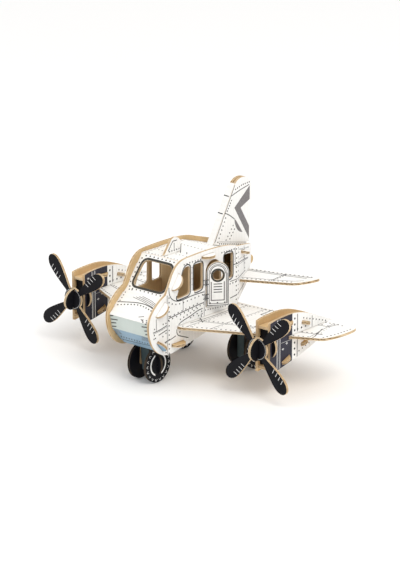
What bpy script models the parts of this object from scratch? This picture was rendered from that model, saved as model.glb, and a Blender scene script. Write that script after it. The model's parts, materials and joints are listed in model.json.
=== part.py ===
"""Slot-together card model of a chubby twin-propeller aeroplane.

Every dimension is in millimetres and becomes metres in model_point, where a piece or an axis is placed.
The nose points along -Y, the side with the door is +X, and the wheels stand on Z = 0.
Each piece is a flat or folded card. Printed faces are outside, bare card inside.
"""

import math

import bmesh
import bpy
from mathutils import Vector

MM = 0.001
MID_LENGTH = -7.24  # Y half-way between the nose and the tailplane, where the model's origin is
CARD = 2.0  # thickness of the corrugated card
GAP = 0.3  # clearance between pieces that meet
SLOT_GAP = 0.35  # clearance round a tab in its slot

# Fuselage
HALF_WIDTH = 21.4  # outer face of each side panel
INNER_HALF = HALF_WIDTH - CARD
WRAP_HALF = INNER_HALF - GAP
TAIL_CREASE_Y = 18.3  # the side panels bend inwards from here
TAIL_END_Y = 55.5
TAIL_HALF = CARD / 2 + GAP + 1.13 * CARD  # outer face of each slanted panel where the two meet
TAB_REACH = 5.6  # how far a tab stands out of a side panel
TAB_LENGTH = 13.0
SKIN = [(-64.0, 26.5), (-77.0, 41.0), (-79.5, 52.4), (-60.0, 69.0), (-43.4, 91.5), (1.9, 91.2), (50.0, 77.0)]
SEAM = 4  # the point of SKIN where the nose wrap ends and the roof wrap starts
FLOOR = [(-64.0, 29.6), (-32.0, 29.6), (3.0, 39.4)]
CABIN_BULKHEAD_Y = -21.2
REAR_BULKHEAD_Y = 14.0
BULKHEAD_PORT = 10.5  # both bulkheads stop here, which leaves a way along the port side to the door

# Wing and tailplane, given as their top faces
WING_TOP = 44.0
WING_SWEEP = 0.4987  # fall-back of the leading edge for each millimetre outwards
WING_APEX_Y = -62.5  # where the two leading edges would cross
WING_FLAT = 25.0  # the leading edge is square across the fuselage inside this
TAILPLANE_TOP = 61.7
TAILPLANE_SWEEP = 0.4875
TAILPLANE_APEX_Y = 16.4
TAILPLANE_FLAT = 7.4

# Fin
FIN_HALF = 2.7
FIN_RISE = 24.7 / 42.6  # rearwards lean of the leading edge for each millimetre up
FIN_FOOT = (10.8, 88.6)
FIN_STRIP = 1.2

# Door, which stands ajar
DOOR_AXIS = (22.15, -18.9)
DOOR_AJAR = 40.0
DOOR_START = 0.6  # from the hinge axis to the hinged edge
DOOR_WIDTH = 16.7
DOOR_LOW = 51.6
DOOR_ARCH_CENTRE = 77.2
PORTHOLE_RADIUS = 3.8

# Engines
ENGINE_X = 91.0
ENGINE_HALF = 6.7  # outer face of each nacelle panel from the engine centre
ENGINE_INNER = ENGINE_HALF - CARD
SHAFT_Z = 40.0
NACELLE_TOP = [(-36.2, 55.4), (-8.0, 54.9), (17.0, 46.6)]
NACELLE_BOTTOM = [(-36.2, 22.9), (-22.0, 24.4), (14.0, 38.6)]
ENGINE_PLATE_Y = -33.0
PROP_Y = -42.0
PROP_RADIUS = 38.7
SPINNER_RADIUS = 8.5
KEY_HALF = 6.6  # half width of the spinner plate where it goes through the hub
KEY_BACK = 4.0  # how far that width reaches behind the hub
STEM_HALF = 1.4  # half width of the stem that turns in the engine plate
STEM_END_Y = -27.0
RETAINER_RADIUS = 3.9
PROP_TURN = {"port": 42.8, "starboard": 37.0}  # where the first blade points

# Undercarriage
WHEEL_RADIUS = 13.7
WHEEL_OUTER = 9.1  # outer face of a wheel from the middle of its pair
HUB_RADIUS = 6.85
HUB_REACH = 3.4
AXLE_HALF_HEIGHT = 1.1
LEG_OUTER = WHEEL_OUTER - CARD - GAP
NOSE_GEAR = (0.0, -57.8)
MAIN_GEAR = (35.6, 13.9)

WHITE = (0.90, 0.89, 0.86)
KRAFT = (0.55, 0.38, 0.19)
BLACK = (0.02, 0.02, 0.025)


# ---------------------------------------------------------------- outlines


def spline(points, steps=5):
    """A smooth open curve through the points."""
    padded = [points[0]] + list(points) + [points[-1]]
    curve = []
    for a, b, c, d in zip(padded, padded[1:], padded[2:], padded[3:]):
        for step in range(steps):
            t = step / steps
            curve.append(
                tuple(
                    0.5
                    * (
                        2 * b[i]
                        + (c[i] - a[i]) * t
                        + (2 * a[i] - 5 * b[i] + 4 * c[i] - d[i]) * t * t
                        + (3 * b[i] - a[i] - 3 * c[i] + d[i]) * t**3
                    )
                    for i in (0, 1)
                )
            )
    return curve + [tuple(points[-1])]


def rounded(corners, radius, steps=4):
    """A closed polygon with each corner rounded off."""
    outline = []
    for before, corner, after in zip(corners[-1:] + corners[:-1], corners, corners[1:] + corners[:1]):
        corner = Vector(corner)
        back = (Vector(before) - corner).normalized() * radius
        ahead = (Vector(after) - corner).normalized() * radius
        for step in range(steps + 1):
            t = step / steps
            point = corner + back * (1 - t) ** 2 + ahead * t**2
            outline.append((point.x, point.y))
    return outline


def arc(centre, radius, start, end, steps, stretch=1.0):
    """Points on an arc in degrees. stretch scales it along the first axis."""
    points = []
    for step in range(steps + 1):
        angle = math.radians(start + (end - start) * step / steps)
        points.append((centre[0] + radius * stretch * math.cos(angle), centre[1] + radius * math.sin(angle)))
    return points


def circle(centre, radius, steps=32):
    return arc(centre, radius, 0, 360, steps)[:-1]


def disc_on_ground(centre, radius, steps=56):
    """A disc whose lowest stretch is a small flat, the radius below its centre."""
    half_step = 180 / steps
    corner = radius / math.cos(math.radians(half_step))
    return arc(centre, corner, half_step, 360 + half_step, steps)[:-1]


def slot(centre, length, slope, height=CARD + 2 * SLOT_GAP):
    """A straight slot. slope is the direction it runs in, as (along, up)."""
    run = Vector(slope).normalized() * (length / 2 + SLOT_GAP)
    rise = Vector((-run.y, run.x)).normalized() * height / 2
    corners = [-run - rise, run - rise, run + rise, -run + rise]
    return [(centre[0] + c.x, centre[1] + c.y) for c in corners]


def tabbed_edge(start, end, tabs, neck, reach):
    """The edge from start to end with D-shaped tabs on its right, each given as (distance along, length).

    neck is the straight part that goes through the slot, and reach is how far the D stands beyond it.
    """
    start, end = Vector(start), Vector(end)
    along = (end - start).normalized()
    out = Vector((along.y, -along.x))
    edge = [start]
    for distance, length in tabs:
        middle = start + along * distance
        edge.append(middle - along * length / 2)
        for x, y in arc((0, 0), 1, 180, 0, 10):
            edge.append(middle + along * x * length / 2 + out * (neck + y * reach))
        edge.append(middle + along * length / 2)
    return [(point.x, point.y) for point in edge + [end]]


def mirrored(points):
    """The other half of an outline that is symmetric about its second axis, walked backwards."""
    return [(-x, y) for x, y in reversed(points)]


# ---------------------------------------------------------------- folds


def distances(profile):
    """How far along a folded profile each of its points is."""
    along = [0.0]
    for (a, b), (c, d) in zip(profile, profile[1:]):
        along.append(along[-1] + math.hypot(c - a, d - b))
    return along


def on_profile(profile, value):
    """How far along the profile the point with this first coordinate is."""
    along = distances(profile)
    for k in range(len(profile) - 1):
        if value <= profile[k + 1][0] or k == len(profile) - 2:
            part = (value - profile[k][0]) / (profile[k + 1][0] - profile[k][0])
            return along[k] + part * (along[k + 1] - along[k])
    return along[-1]


def folder(profile, side):
    """Gives (distance along, depth into the card) its place in the profile's plane.

    side is +1 when the printed face is on the left of the profile's direction, and -1 when on its right.
    """
    along = distances(profile)
    directions = [(Vector(b) - Vector(a)).normalized() for a, b in zip(profile, profile[1:])]
    outwards = [Vector((-d.y, d.x)) * side for d in directions]

    def place(distance, depth):
        k = max(0, min(len(directions) - 1, sum(distance > a for a in along) - 1))
        for fold in range(1, len(directions)):
            if abs(distance - along[fold]) < GAP:
                both = outwards[fold - 1] + outwards[fold]
                bisector = both * depth / (1 + outwards[fold - 1].dot(outwards[fold]))
                return Vector(profile[fold]) - bisector + directions[k] * (distance - along[fold])
        return Vector(profile[k]) + directions[k] * (distance - along[k]) - outwards[k] * depth

    return place


# ---------------------------------------------------------------- meshes


def new_collection(name):
    collection = bpy.data.collections.new(name)
    bpy.context.scene.collection.children.link(collection)
    return collection


def new_material(name, colour, roughness):
    material = bpy.data.materials.new(name)
    material.use_nodes = True
    shader = material.node_tree.nodes["Principled BSDF"]
    shader.inputs["Base Color"].default_value = (*colour, 1)
    shader.inputs["Roughness"].default_value = roughness
    return material


def model_point(point):
    """Drawing millimetres to metres from the model's origin, which is under the middle of its length."""
    x, y, z = point
    return Vector((x, y - MID_LENGTH, z)) * MM


def flat_card(name, loops, thickness):
    """A bmesh of the card lying flat: a filled 2D curve, extruded, with its caps welded on."""
    curve = bpy.data.curves.new(name, "CURVE")
    curve.dimensions = "2D"
    curve.fill_mode = "BOTH"
    curve.extrude = thickness / 2
    for loop in loops:
        line = curve.splines.new("POLY")
        line.points.add(len(loop) - 1)
        line.use_cyclic_u = True
        for point, (a, b) in zip(line.points, loop):
            point.co = (a, b, 0, 1)
    drawn = bpy.data.objects.new(name, curve)
    PARTS.objects.link(drawn)
    graph = bpy.context.evaluated_depsgraph_get()
    mesh = bpy.data.meshes.new_from_object(drawn.evaluated_get(graph))
    bm = bmesh.new()
    bm.from_mesh(mesh)
    bmesh.ops.remove_doubles(bm, verts=bm.verts, dist=1e-4)
    bpy.data.meshes.remove(mesh)
    bpy.data.objects.remove(drawn)
    bpy.data.curves.remove(curve)
    return bm


def card(name, outline, place, colour, holes=(), creases=(), thickness=CARD, origin=(0, MID_LENGTH, 0)):
    """A card cut to the outline with holes in it, folded at the creases.

    The outline is flat. place takes (first, second, depth below the printed face) to the model,
    and origin is where the object's own origin goes there.
    """
    bm = flat_card(name, [outline, *holes], thickness)
    for crease in creases:
        everything = bm.verts[:] + bm.edges[:] + bm.faces[:]
        bmesh.ops.bisect_plane(bm, geom=everything, dist=1e-5, plane_co=(crease, 0, 0), plane_no=(1, 0, 0))
    for vertex in bm.verts:
        a, b, height = vertex.co
        vertex.co = model_point(place(a, b, thickness / 2 - height)) - model_point(origin)
    bmesh.ops.recalc_face_normals(bm, faces=bm.faces)
    if bm.calc_volume(signed=True) < 0:
        bmesh.ops.reverse_faces(bm, faces=bm.faces)
    mesh = bpy.data.meshes.new(name)
    bm.to_mesh(mesh)
    bm.free()
    mesh.materials.append(new_material(name, colour, 0.75))
    obj = bpy.data.objects.new(name, mesh)
    obj.location = model_point(origin)
    PARTS.objects.link(obj)
    return obj


def empty(name, location):
    axis = bpy.data.objects.new(name, None)
    axis.location = model_point(location)
    axis.empty_display_size = 5 * MM
    PARTS.objects.link(axis)
    return axis


def hang(axis, *pieces):
    """Parents the pieces to the empty on their joint axis, leaving them where they are."""
    for piece in pieces:
        piece.parent = axis
        piece.location = piece.location - axis.location


# ---------------------------------------------------------------- fuselage


def side_outline():
    """The side panel, seen from the side with the nose on the left, as (y, z)."""
    nose = spline(
        [(-56.0, 24.8), (-62.0, 25.0), (-67.5, 26.4), (-72.5, 29.6), (-77.0, 34.5), (-79.9, 40.5), (-81.3, 47.0)]
        + [(-81.1, 53.3), (-78.9, 58.5), (-75.2, 62.9), (-69.2, 67.6), (-62.9, 70.8)],
        3,
    )
    roof = spline(
        [(-62.9, 70.8), (-60.6, 75.0), (-58.0, 80.2), (-55.2, 85.2), (-51.8, 89.3), (-47.6, 92.0), (-42.5, 93.5)]
        + [(-33.0, 94.1), (-20.0, 94.4), (-5.0, 94.1), (6.0, 93.1), (13.3, 91.6), (TAIL_CREASE_Y, 90.0)],
        3,
    )
    tail = [(TAIL_END_Y, 80.5), (TAIL_END_Y, TAILPLANE_TOP + GAP)]
    tail += [(24.0, TAILPLANE_TOP + GAP), (24.0, TAILPLANE_TOP - CARD - GAP)]
    tail += [(TAIL_END_Y, TAILPLANE_TOP - CARD - GAP), (54.0, 56.2), (41.3, 51.6), (29.0, 48.6), (TAIL_CREASE_Y, 45.4)]
    wing_slot = [(16.6, WING_TOP + GAP), (-50.4, WING_TOP + GAP), (-50.4, WING_TOP - CARD - GAP)]
    belly = [(12.6, WING_TOP - CARD - GAP), (0.0, 36.4), (-18.3, 31.4), (-40.0, 27.3)]
    return nose[:-1] + roof + tail + wing_slot + belly


def side_windows():
    front = rounded([(-51.6, 64.6), (-36.2, 65.6), (-35.8, 87.4), (-42.6, 87.6)], 3.4)
    middle = rounded([(-32.2, 65.8), (-21.8, 66.6), (-21.8, 87.0), (-32.2, 87.2)], 2.2)
    rear = rounded([(2.4, 66.8), (12.6, 67.2), (12.6, 86.8), (2.4, 87.0)], 2.2)
    return [front, middle, rear]


def doorway():
    low, high = DOOR_AXIS[1] + 0.25, DOOR_AXIS[1] + DOOR_START + DOOR_WIDTH + 0.6
    middle, radius = (low + high) / 2, (high - low) / 2
    return [(low, DOOR_LOW - 0.4), (high, DOOR_LOW - 0.4)] + arc((middle, DOOR_ARCH_CENTRE), radius, 0, 180, 14)


# Each tab through the side panels: the wrap it belongs to, the facet, how far along that facet, and its length.
NOSE_TABS = [(0, 8.5, 10.0), (2, 14.0, TAB_LENGTH), (3, 12.2, TAB_LENGTH)]
ROOF_TAB = (SEAM, 27.1, TAB_LENGTH)
REAR_ROOF_TAB = (SEAM + 1, 31.0, 10.0)
FLOOR_TAB = (0, 14.0, TAB_LENGTH)


def tab_slot(profile, side, tab):
    """The slot for a tab, in the side panel's (y, z)."""
    facet, distance, length = tab
    start, end = Vector(profile[facet]), Vector(profile[facet + 1])
    run = (end - start).normalized()
    outwards = Vector((-run.y, run.x)) * side
    middle = start + run * distance - outwards * CARD / 2
    return slot((middle.x, middle.y), length, run)


def side_panel(name, sign, holes):
    """One side of the fuselage, bent inwards at the tail."""
    plan = [(-90.0, HALF_WIDTH), (TAIL_CREASE_Y, HALF_WIDTH), (TAIL_END_Y, TAIL_HALF)]
    fold = folder(plan, 1)

    def flatten(points):
        return [(on_profile(plan, y), z) for y, z in points]

    def place(distance, height, depth):
        y, x = fold(distance, depth)
        return (sign * x, y, height)

    holes = [flatten(hole) for hole in holes]
    return card(name, flatten(side_outline()), place, WHITE, holes, [on_profile(plan, TAIL_CREASE_Y)])


def rear_roof_slot():
    """Where the rear roof tab comes through the bent part of a side panel."""
    facet, distance, length = REAR_ROOF_TAB
    start, end = Vector(SKIN[facet]), Vector(SKIN[facet + 1])
    run = (end - start).normalized()
    middle = start + run * distance + Vector((run.y, -run.x)) * CARD / 2
    flare = (HALF_WIDTH - TAIL_HALF) / (TAIL_END_Y - TAIL_CREASE_Y)
    stretch = math.hypot(1, flare)
    drift = flare / stretch  # the tab leans rearwards as it leaves the roof
    centre = (middle.x + drift * (GAP + CARD), middle.y + drift * run.y * (GAP + CARD / 2))
    return slot(centre, length / stretch + 0.2, run, CARD + 2 * SLOT_GAP + 0.1)


def wrap(name, profile, side, half_widths, tabs, colour=WHITE, holes=(), reach=TAB_REACH, middle=0.0):
    """A folded card that spans between two side panels, with tabs that stand out through them.

    half_widths gives (distance along, half width) at each corner of its edge, and middle is its centre's X.
    """
    along = distances(profile)
    fold = folder(profile, side)
    edge = []
    for (s0, w0), (s1, w1) in zip(half_widths, half_widths[1:]):
        here = []
        for facet, distance, length in tabs:
            total = along[facet] + distance
            if s0 <= total < s1:
                here.append(((total - s0) * math.hypot(s1 - s0, w1 - w0) / (s1 - s0), length))
        edge += tabbed_edge((s0, -w0), (s1, -w1), here, GAP + CARD, reach)[:-1]
    edge.append((half_widths[-1][0], -half_widths[-1][1]))
    outline = edge + [(s, -w) for s, w in reversed(edge)]

    def place(distance, across, depth):
        y, z = fold(distance, depth)
        return (middle + across, y, z)

    creases = [fold for fold in along[1:-1] if half_widths[0][0] < fold < half_widths[-1][0]]
    return card(name, outline, place, colour, holes, creases)


def windscreen():
    """The opening in the last facet of the nose wrap."""
    start = distances(SKIN)[3]
    return rounded([(start + 1.9, -15.4), (start + 23.2, -14.2), (start + 23.2, 14.2), (start + 1.9, 15.4)], 5.0, 5)


def roof_half_widths():
    """The roof is parallel to the tail crease and then narrows with the side panels."""
    flare = (INNER_HALF - (TAIL_HALF - CARD)) / (TAIL_END_Y - TAIL_CREASE_Y)
    last = WRAP_HALF - 0.3 - flare * (SKIN[-1][0] - TAIL_CREASE_Y)
    along = distances(SKIN)
    front = (along[SEAM] + GAP / 2, WRAP_HALF)
    return [front, (on_profile(SKIN, TAIL_CREASE_Y), WRAP_HALF - 0.3), (along[-1], last)]


def roof_slots():
    """The slots for the antenna and for the foot of the fin."""
    slots = []
    for front, rear, half in ((-37.9, -27.1, 1.2), (23.6, 34.9, 3.1)):
        a, b = on_profile(SKIN, front), on_profile(SKIN, rear)
        slots.append([(a, -half), (b, -half), (b, half), (a, half)])
    return slots


def upright_along(x_printed, sign):
    """Places a flat card in a fore-and-aft plane. sign is the side that its printed face looks to."""
    return lambda y, z, depth: (x_printed - sign * depth, y, z)


def upright_across(y_printed):
    """Places a flat card across the aeroplane, with its printed face forwards."""
    return lambda x, z, depth: (x, y_printed + depth, z)


def level(top):
    """Places a flat card level, with its printed face up."""
    return lambda x, y, depth: (x, y, top - depth)


def under_roof(y):
    """A clearance below the roof's underside."""
    for (start, high), (end, low) in zip(SKIN[SEAM:], SKIN[SEAM + 1 :]):
        if y <= end:
            slope = (low - high) / (end - start)
            return high + slope * (y - start) - CARD * math.hypot(1, slope) - GAP


def make_fuselage():
    shared = [tab_slot(SKIN, 1, tab) for tab in NOSE_TABS + [ROOF_TAB]]
    shared += [tab_slot(FLOOR, -1, FLOOR_TAB), rear_roof_slot()]
    shared += side_windows()
    side_panel("side_panel_port", 1, shared + [doorway()])
    side_panel("side_panel_starboard", -1, shared)

    nose_end = distances(SKIN)[SEAM] - GAP / 2
    wrap("nose_wrap", SKIN, 1, [(0, WRAP_HALF), (nose_end, WRAP_HALF)], NOSE_TABS, holes=[windscreen()])
    wrap("roof_wrap", SKIN, 1, roof_half_widths(), [ROOF_TAB, REAR_ROOF_TAB], holes=roof_slots())
    floor_length = distances(FLOOR)[-1]
    wrap("belly_floor", FLOOR, -1, [(0, WRAP_HALF), (floor_length, WRAP_HALF)], [FLOOR_TAB])

    low = WING_TOP + 2 * GAP
    for name, y in (("cabin_bulkhead", CABIN_BULKHEAD_Y), ("rear_bulkhead", REAR_BULKHEAD_Y)):
        top = under_roof(y + CARD / 2)
        outline = [(-WRAP_HALF, low), (BULKHEAD_PORT, low), (BULKHEAD_PORT, top), (-WRAP_HALF, top)]
        card(name, outline, upright_across(y - CARD / 2), KRAFT)

    knob = arc((57.5, 66.4), 3.9, -90, 90, 12)
    card("tail_lock", [(31.0, 62.5)] + knob + [(31.0, 70.3)], upright_along(CARD / 2, 1), KRAFT)

    blade = [(-41.5, 91.9), (-33.4, 102.4), (-30.6, 103.7), (-26.6, 102.8), (-22.8, 99.7), (-23.6, 91.9)]
    foot = [(-27.5, 91.9), (-27.5, 87.4), (-37.5, 87.4), (-37.5, 91.9)]
    card("antenna", [blade[0]] + spline(blade[1:5], 4) + [blade[5]] + foot, upright_along(CARD / 2, 1), WHITE)


def fin_front(height):
    """Where the fin's leading edge is at this height."""
    return FIN_FOOT[0] + (height - FIN_FOOT[1]) * FIN_RISE


def make_fin():
    behind = 1.75  # the leaves start this far behind the leading edge
    top = spline([(57.0, 126.5), (55.6, 130.4), (52.0, 133.2), (47.0, 134.3), (42.0, 133.7), (38.6, 131.8)], 3)
    rear = [(51.2, 77.3), (51.2, 82.2), (54.6, 82.2), (54.9, 96.0), (56.1, 115.0)]
    front = [(fin_front(130.0) + behind, 130.0), (fin_front(88.6) + behind, 88.6)]
    (ridge_y, ridge_z), (tail_y, tail_z) = SKIN[-2:]

    def above_roof(y):
        return ridge_z + (y - ridge_y) * (tail_z - ridge_z) / (tail_y - ridge_y) + 0.35

    foot = [(24.0, above_roof(24.0)), (24.0, 79.4), (34.0, 76.6), (34.0, above_roof(34.0))]
    leaf = front + foot + rear + top
    card("fin_leaf_port", leaf, upright_along(FIN_HALF, 1), WHITE)
    card("fin_leaf_starboard", leaf, upright_along(-FIN_HALF, -1), WHITE)

    low, high = FIN_FOOT[1], 131.2
    lean = math.hypot(1, FIN_RISE)
    corners = [(fin_front(low), low), (fin_front(high), high)]
    strip = corners + [(y + FIN_STRIP * lean, z) for y, z in reversed(corners)]
    card("fin_leading_strip", strip, upright_along(FIN_HALF, 1), WHITE, thickness=2 * FIN_HALF)


def make_door():
    """The door and its two hinge pins. It is drawn shut and turned to where it stands."""
    start, end = DOOR_START, DOOR_START + DOOR_WIDTH
    middle = (start + end) / 2
    outline = [(start, DOOR_LOW), (end, DOOR_LOW)] + arc((middle, DOOR_ARCH_CENTRE), DOOR_WIDTH / 2, 0, 180, 16)
    porthole = circle((middle, DOOR_ARCH_CENTRE - 1.9), PORTHOLE_RADIUS, 28)
    turn = math.radians(DOOR_AJAR)
    proud = DOOR_AXIS[0] - HALF_WIDTH  # the axis stands this far outside the side panel

    def place(along, height, depth):
        inwards = depth + proud
        x = DOOR_AXIS[0] + along * math.sin(turn) - inwards * math.cos(turn)
        y = DOOR_AXIS[1] + along * math.cos(turn) + inwards * math.sin(turn)
        return (x, y, height)

    axis = empty("door_axis", (*DOOR_AXIS, DOOR_LOW))
    door = card("door", outline, place, WHITE, [porthole], origin=(*DOOR_AXIS, DOOR_LOW))
    hang(axis, door)
    for name, low in (("door_hinge_lower", 56.5), ("door_hinge_upper", 67.5)):
        pin = circle(DOOR_AXIS, 0.45, 12)
        card(name, pin, level(low + 4.6), BLACK, thickness=4.6)


# ---------------------------------------------------------------- wings


def make_wing():
    lead = [(WING_FLAT, WING_APEX_Y + WING_SWEEP * WING_FLAT), (115.0, WING_APEX_Y + WING_SWEEP * 115.0)]
    tip = spline([(115.0, -5.15), (119.6, -2.0), (122.4, 4.5), (123.9, 13.0), (124.4, 22.0), (123.8, 29.0)], 4)
    tip += spline([(123.8, 29.0), (121.8, 33.2), (117.0, 34.3), (111.0, 33.4)], 4)[1:]
    trail = [(90.0, 29.5), (50.0, 26.0), (21.0, 23.8)]
    half = lead[:1] + tip + trail
    card("wing", half + mirrored(half), level(WING_TOP), WHITE)

    lead = [(TAILPLANE_FLAT, TAILPLANE_APEX_Y + TAILPLANE_SWEEP * TAILPLANE_FLAT)]
    tip = spline([(52.5, 42.0), (56.6, 46.0), (59.8, 52.2), (61.8, 59.0), (62.6, 64.0), (61.2, 66.8), (57.0, 66.5)], 4)
    half = lead + tip + [(30.0, 58.8), (6.0, 52.6)]
    card("tailplane", half + mirrored(half), level(TAILPLANE_TOP), WHITE)


# ---------------------------------------------------------------- engines

NACELLE_TOP_TABS = [(0, 21.0, 8.0), (1, 13.5, 9.0)]
NACELLE_BOTTOM_TABS = [(1, 4.6, 9.0), (1, 27.0, 7.0)]
NACELLE_TAB_REACH = 2.6


def nacelle_outline(slot_front):
    """A nacelle panel as (y, z), with the slot that it slides over the wing by."""
    top = spline([(-36.5, 58.8), (-30.0, 59.9), (-16.0, 60.6), (-6.0, 59.9), (4.0, 57.6), (15.0, 53.6)], 3)
    top += [(27.0, 48.4), (36.8, WING_TOP + GAP)]
    wing_slot = [(slot_front, WING_TOP + GAP), (slot_front, WING_TOP - CARD - GAP)]
    bottom = spline([(35.4, WING_TOP - CARD - GAP), (30.0, 38.2), (21.0, 33.6), (12.2, 30.4)], 3)
    bottom += [(-2.0, 26.6), (-13.2, 24.3), (-25.5, 21.8), (-36.5, 20.2)]
    return top + wing_slot + bottom


def wing_front(x):
    return WING_APEX_Y + WING_SWEEP * abs(x)


def make_nacelle(side, sign):
    centre = sign * ENGINE_X
    plate = slot((ENGINE_PLATE_Y, SHAFT_Z), 2 * HUB_RADIUS, (0, 1))
    holes = [plate]
    holes += [tab_slot(NACELLE_TOP, 1, tab) for tab in NACELLE_TOP_TABS]
    holes += [tab_slot(NACELLE_BOTTOM, -1, tab) for tab in NACELLE_BOTTOM_TABS]
    for place_name, out in (("inner", -sign), ("outer", sign)):
        printed = centre + out * ENGINE_HALF
        nearest = min(abs(printed), abs(printed - out * CARD))
        outline = nacelle_outline(wing_front(nearest) - GAP)
        card(f"nacelle_panel_{place_name}_{side}", outline, upright_along(printed, out), WHITE, holes)

    half = ENGINE_INNER - GAP
    spans = (("top", NACELLE_TOP, 1, NACELLE_TOP_TABS), ("bottom", NACELLE_BOTTOM, -1, NACELLE_BOTTOM_TABS))
    for name, profile, facing, tabs in spans:
        ends = [(0, half), (distances(profile)[-1], half)]
        wrap(f"nacelle_{name}_{side}", profile, facing, ends, tabs, KRAFT, (), NACELLE_TAB_REACH, centre)

    # The engine plate closes the nacelle's mouth, and its round ends stand out through the panels.
    disc = math.hypot(ENGINE_HALF + GAP, HUB_RADIUS)
    end = math.degrees(math.asin(HUB_RADIUS / disc))
    low = NACELLE_BOTTOM[0][1] + 0.5 + CARD + GAP
    high = NACELLE_TOP[0][1] - 0.2 - CARD - GAP
    right = [(half, low), (half, SHAFT_Z - HUB_RADIUS)] + arc((0, SHAFT_Z), disc, -end, end, 10)
    right += [(half, SHAFT_Z + HUB_RADIUS), (half, high)]
    outline = [(centre + x, z) for x, z in right + mirrored(right)]
    bore = circle((centre, SHAFT_Z), math.hypot(STEM_HALF, CARD / 2) + GAP, 24)
    card(f"engine_plate_{side}", outline, upright_across(ENGINE_PLATE_Y - CARD / 2), BLACK, [bore])


# ---------------------------------------------------------------- propellers


def blade_half():
    """Half widths along one blade, from the hub disc to the start of its round end."""
    return [(8.0, 1.8), (12.0, 2.6), (17.0, 3.7), (22.0, 4.6), (27.0, 5.3), (31.0, 5.4)]


def propeller_outline(turn):
    """Four blades round a hub disc. turn is where the first one points."""
    stations = blade_half()
    reach, width = stations[-1]
    outline = []
    for k in range(4):
        lead = math.radians(turn + 90 * k)
        out, across = Vector((math.cos(lead), math.sin(lead))), Vector((-math.sin(lead), math.cos(lead)))
        end = math.degrees(math.asin(stations[0][1] / SPINNER_RADIUS))
        blade = [(s, -w) for s, w in stations]
        blade += arc((reach, 0), width, -90, 90, 8, (PROP_RADIUS - reach) / width)[1:-1]
        blade += [(s, w) for s, w in reversed(stations)]
        outline += [out * s + across * w for s, w in blade]
        for x, z in arc((0, 0), SPINNER_RADIUS, turn + 90 * k + end + 2, turn + 90 * (k + 1) - end - 2, 6):
            outline.append(Vector((x, z)))
    return [(point.x, point.y) for point in outline]


def spinner_outline():
    """The half disc on the nose of a propeller, as (across, forward of the hub's face).

    Its straight edge goes on through the hub and narrows to the stem that the propeller turns on.
    """
    shoulder = -GAP - CARD - KEY_BACK
    stem_end = PROP_Y - CARD / 2 - GAP - STEM_END_Y
    key = [(-KEY_HALF, 0), (-KEY_HALF, shoulder + 2.0), (-KEY_HALF + 2.0, shoulder), (-STEM_HALF, shoulder)]
    key.append((-STEM_HALF, stem_end))
    return arc((0, 0), SPINNER_RADIUS, 0, 180, 20) + key + mirrored(key)


def make_propeller(side, sign):
    centre, turn = sign * ENGINE_X, PROP_TURN[side]
    hub = (centre, PROP_Y, SHAFT_Z)
    front = PROP_Y - CARD / 2
    axis = empty(f"propeller_axis_{side}", hub)

    def upright(y_printed):
        return lambda x, z, depth: (centre + x, y_printed + depth, SHAFT_Z + z)

    def slot_round(half_length, angle):
        run = (math.cos(math.radians(angle)), math.sin(math.radians(angle)))
        return slot((0, 0), 2 * half_length, run)

    keyway = slot_round(KEY_HALF, turn + 45)
    blades = card(f"propeller_blades_{side}", propeller_outline(turn), upright(front), BLACK, [keyway], origin=hub)
    lead = math.radians(turn + 45)
    out, across = Vector((math.cos(lead), math.sin(lead))), Vector((math.sin(lead), -math.cos(lead)))

    def upright_on_hub(along, forward, depth):
        flat = out * along + across * (CARD / 2 - depth)
        return (centre + flat.x, front - GAP - forward, SHAFT_Z + flat.y)

    spinner = card(f"spinner_plate_{side}", spinner_outline(), upright_on_hub, BLACK, origin=hub)

    # A small disc on the stem, behind the engine plate, keeps the propeller from pulling out.
    disc = circle((0, 0), RETAINER_RADIUS, 28)
    behind = ENGINE_PLATE_Y + CARD / 2 + GAP
    key = slot_round(STEM_HALF, turn + 45)
    retainer = card(f"propeller_retainer_{side}", disc, upright(behind), KRAFT, [key], origin=hub)
    hang(axis, blades, spinner, retainer)


# ---------------------------------------------------------------- undercarriage


def make_gear(name, middle, mount, brace_ahead, brace_top, brace_foot):
    """A pair of wheels on one card axle between two legs that hang from mount.

    brace_top and brace_foot are the half widths of the plate in front of the axle.
    """
    x, y = middle
    centre = (x, y, WHEEL_RADIUS)
    axis = empty(f"{name}_axle_axis", centre)
    turning = []
    keyway = slot((y, WHEEL_RADIUS), 2 * AXLE_HALF_HEIGHT, (0, 1))
    for side, sign in (("port", 1), ("starboard", -1)):
        disc = disc_on_ground((y, WHEEL_RADIUS), WHEEL_RADIUS)
        wheel = f"{name}_wheel_{side}"
        turning.append(card(wheel, disc, upright_along(x + sign * WHEEL_OUTER, sign), BLACK, [keyway], origin=centre))

    # The axle is a narrow bar with a half disc at each end that closes on the wheel as its hub.
    end = WHEEL_OUTER + GAP
    right = [(end, -AXLE_HALF_HEIGHT), (end, -HUB_RADIUS)]
    right += [(end + HUB_REACH * px, HUB_RADIUS * pz) for px, pz in arc((0, 0), 1, -90, 90, 14)][1:-1]
    right += [(end, HUB_RADIUS), (end, AXLE_HALF_HEIGHT)]
    outline = [(x + px, WHEEL_RADIUS + pz) for px, pz in right + mirrored(right)]
    turning.append(card(f"{name}_axle", outline, upright_across(y - CARD / 2), BLACK, origin=centre))
    hang(axis, *turning)

    bore = circle((y, WHEEL_RADIUS), 1.75, 20)
    for side, sign in (("port", 1), ("starboard", -1)):
        foot = arc((y, WHEEL_RADIUS), 3.3, 200, 340, 10)
        leg = foot + [(y + 2.1, mount), (y - 2.1, mount)]
        card(f"{name}_leg_{side}", leg, upright_along(x + sign * LEG_OUTER, sign), BLACK, [bore])

    brace = [(x - brace_foot, 8.6), (x + brace_foot, 8.6), (x + brace_top, mount), (x - brace_top, mount)]
    card(f"{name}_brace", brace, upright_across(y - brace_ahead - CARD / 2), BLACK)


# ---------------------------------------------------------------- the model

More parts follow.
